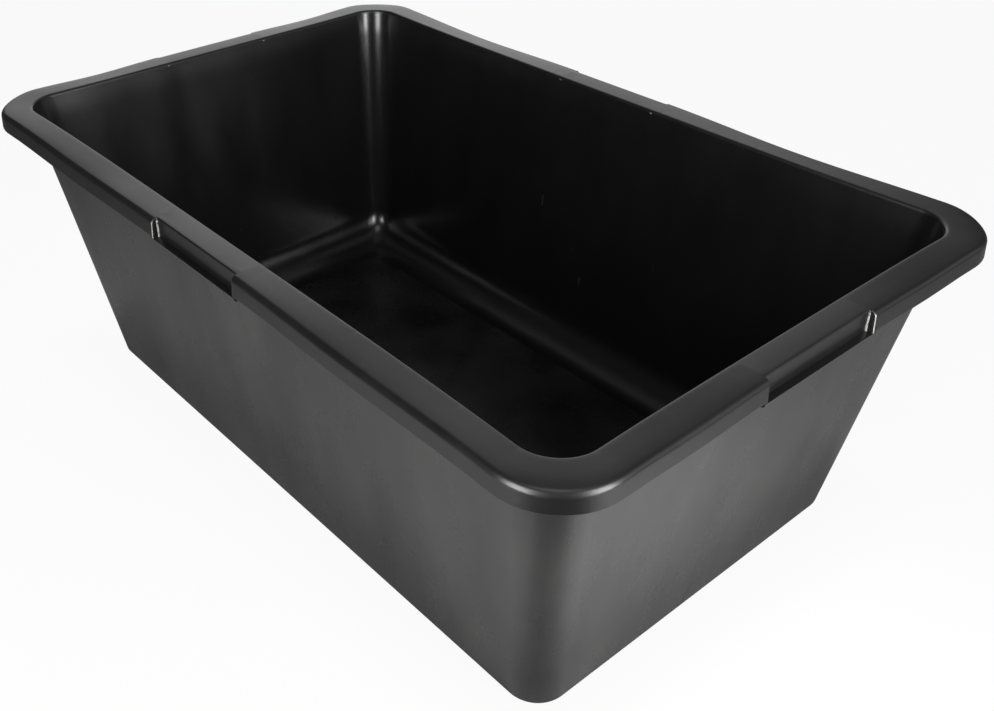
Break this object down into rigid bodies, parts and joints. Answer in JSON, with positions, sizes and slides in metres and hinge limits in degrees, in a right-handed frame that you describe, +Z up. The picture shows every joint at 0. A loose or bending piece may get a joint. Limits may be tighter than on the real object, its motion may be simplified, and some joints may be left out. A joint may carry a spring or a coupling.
{
  "type": "cement tub",
  "caption": "Rectangular black plastic mortar tub with leaning walls, rounded corners, a wide turned-down rim and hand grips in the rim, for mixing and carrying mortar.",
  "frame": {"origin": "middle of the base, on the surface that the tub stands on", "axes": "+X along the tub's length, +Y across it, +Z up; front is the long side at -Y, right the short side at +X"},
  "size_m": [0.7, 0.442, 0.249],
  "materials": {
    "black_polyethylene": "black recycled polyethylene as moulded, satin, faintly mottled, with small scuffs"
  },
  "bodies": {
    "root": {"floor": "black_polyethylene", "cove_front": "black_polyethylene", "cove_back": "black_polyethylene", "cove_left": "black_polyethylene", "cove_right": "black_polyethylene", "cove_corner_front_left": "black_polyethylene", "cove_corner_front_right": "black_polyethylene", "cove_corner_back_left": "black_polyethylene", "cove_corner_back_right": "black_polyethylene", "wall_front": "black_polyethylene", "wall_back": "black_polyethylene", "wall_left": "black_polyethylene", "wall_right": "black_polyethylene", "wall_corner_front_left": "black_polyethylene", "wall_corner_front_right": "black_polyethylene", "wall_corner_back_left": "black_polyethylene", "wall_corner_back_right": "black_polyethylene", "rim_front_left": "black_polyethylene", "rim_front_right": "black_polyethylene", "rim_back_left": "black_polyethylene", "rim_back_right": "black_polyethylene", "rim_left_front": "black_polyethylene", "rim_left_back": "black_polyethylene", "rim_right_front": "black_polyethylene", "rim_right_back": "black_polyethylene", "rim_corner_front_left": "black_polyethylene", "rim_corner_front_right": "black_polyethylene", "rim_corner_back_left": "black_polyethylene", "rim_corner_back_right": "black_polyethylene", "grip_front": "black_polyethylene", "grip_back": "black_polyethylene", "grip_left": "black_polyethylene", "grip_right": "black_polyethylene", "rim_ribs_front": "black_polyethylene", "rim_ribs_back": "black_polyethylene", "rim_ribs_left": "black_polyethylene", "rim_ribs_right": "black_polyethylene"}
  },
  "joints": []
}
